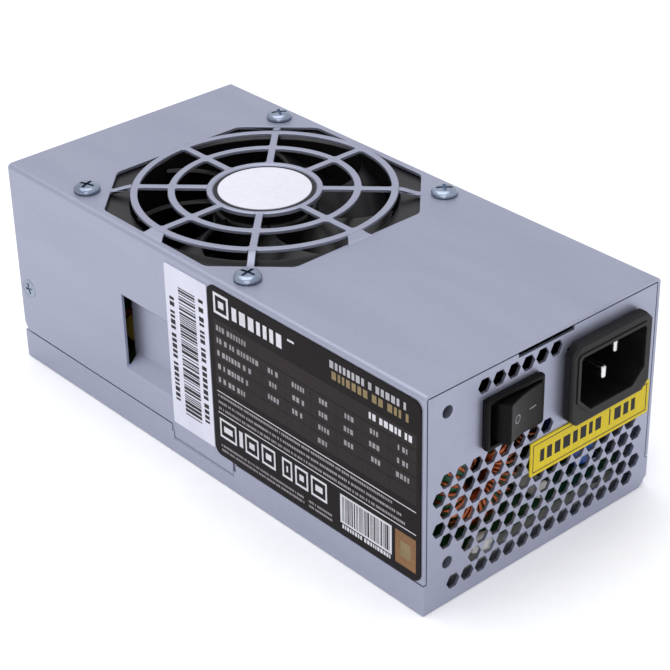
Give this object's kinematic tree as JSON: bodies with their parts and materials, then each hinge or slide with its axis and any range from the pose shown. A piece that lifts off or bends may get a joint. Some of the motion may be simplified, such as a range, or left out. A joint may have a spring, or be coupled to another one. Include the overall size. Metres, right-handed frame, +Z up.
{
  "type": "power supply unit",
  "caption": "Compact desktop power supply: folded steel case with a guarded top fan, hexagonal vents, three-pin mains inlet, rocker switch and blank labels.",
  "frame": {"origin": "middle of the case's underside", "axes": "+X along the case towards the mains inlet and switch, -Y towards the side with the rating label, +Z up through the fan grille"},
  "size_m": [0.1822, 0.0854, 0.0671],
  "materials": {
    "zinc_plated_steel": "satin zinc-plated sheet steel",
    "bright_zinc": "bright zinc-plated screw steel",
    "bright_steel": "bright nickel-plated metal",
    "brass": "stamped brass",
    "sintered_bronze": "oil-soaked sintered bronze",
    "enamelled_copper": "enamelled copper wire",
    "aluminium": "extruded aluminium",
    "black_plastic": "moulded black thermoplastic",
    "switch_plastic": "glossy black nylon",
    "fan_plastic": "moulded black fan plastic",
    "white_badge": "white printed disc, left blank",
    "black_label": null,
    "white_label": null,
    "yellow_sticker": "yellow vinyl sticker",
    "green_board": "solder-masked fibreglass board",
    "clear_film": "clear insulating film and fuse tube",
    "green_core_coating": "epoxy-coated powder core",
    "yellow_core_coating": "epoxy-coated powder core",
    "ferrite": "dark sintered ferrite",
    "white_silicone": "white silicone bead",
    "transformer_tape": "polyester winding tape",
    "film_capacitor": "boxed film capacitor",
    "blue_lacquer": "blue ceramic disc lacquer",
    "capacitor_sleeve": "shrunk sleeve on an aluminium can",
    "brown_insulation": "brown wire insulation",
    "blue_insulation": "blue wire insulation"
  },
  "bodies": {
    "case": {"base_chassis": "zinc_plated_steel", "top_cover": "zinc_plated_steel", "hub_badge": "white_badge", "fan_frame": "fan_plastic", "fan_bearing": "sintered_bronze", "fan_stator": "enamelled_copper", "fan_circuit_board": "green_board", "inlet_housing": "black_plastic", "inlet_pin_live": "bright_steel", "inlet_pin_neutral": "bright_steel", "inlet_pin_earth": "bright_steel", "switch_housing": "switch_plastic", "switch_terminal_1": "brass", "switch_terminal_2": "brass", "rating_label": "black_label", "barcode_label": "white_label", "input_sticker": "yellow_sticker", "circuit_board": "green_board", "insulation_sheet": "clear_film", "filter_choke_core": "green_core_coating", "filter_choke_winding": "enamelled_copper", "choke_glue": "white_silicone", "line_choke_core": "ferrite", "line_choke_winding": "enamelled_copper", "y_capacitor_1": "blue_lacquer", "y_capacitor_2": "blue_lacquer", "x_capacitor": "film_capacitor", "fuse": "clear_film", "bridge_rectifier": "black_plastic", "bulk_capacitor": "capacitor_sleeve", "primary_heatsink": "aluminium", "switching_transistor": "black_plastic", "transformer_core": "ferrite", "transformer_winding": "transformer_tape", "secondary_heatsink": "aluminium", "output_rectifier": "black_plastic", "output_choke_core": "yellow_core_coating", "output_choke_winding": "enamelled_copper", "output_capacitor_1": "capacitor_sleeve", "output_capacitor_2": "capacitor_sleeve", "inlet_wire_live": "brown_insulation", "inlet_wire_neutral": "blue_insulation", "cable_grommet": "black_plastic", "fan_screw_1": "bright_zinc", "board_screw_1": "bright_zinc", "fan_screw_2": "bright_zinc", "board_screw_2": "bright_zinc", "fan_screw_3": "bright_zinc", "board_screw_3": "bright_zinc", "fan_screw_4": "bright_zinc", "board_screw_4": "bright_zinc", "cover_screw_label_side": "bright_zinc", "cover_screw_far_side": "bright_zinc"},
    "rotor": {"fan_rotor": "fan_plastic", "fan_shaft": "bright_steel", "fan_magnet_ring": "ferrite"},
    "rocker": {"switch_rocker": "switch_plastic"}
  },
  "joints": [
    {"name": "fan_spin", "type": "hinge", "parent": "case", "child": "rotor", "pos_m": [-0.0212, 0, 0.05], "axis": [0, 0, 1], "continuous": true},
    {"name": "switch_rock", "type": "hinge", "parent": "case", "child": "rocker", "pos_m": [0.083, -0.0128, 0.0486], "axis": [0, 0, 1], "range_deg": [-22, 0]}
  ]
}
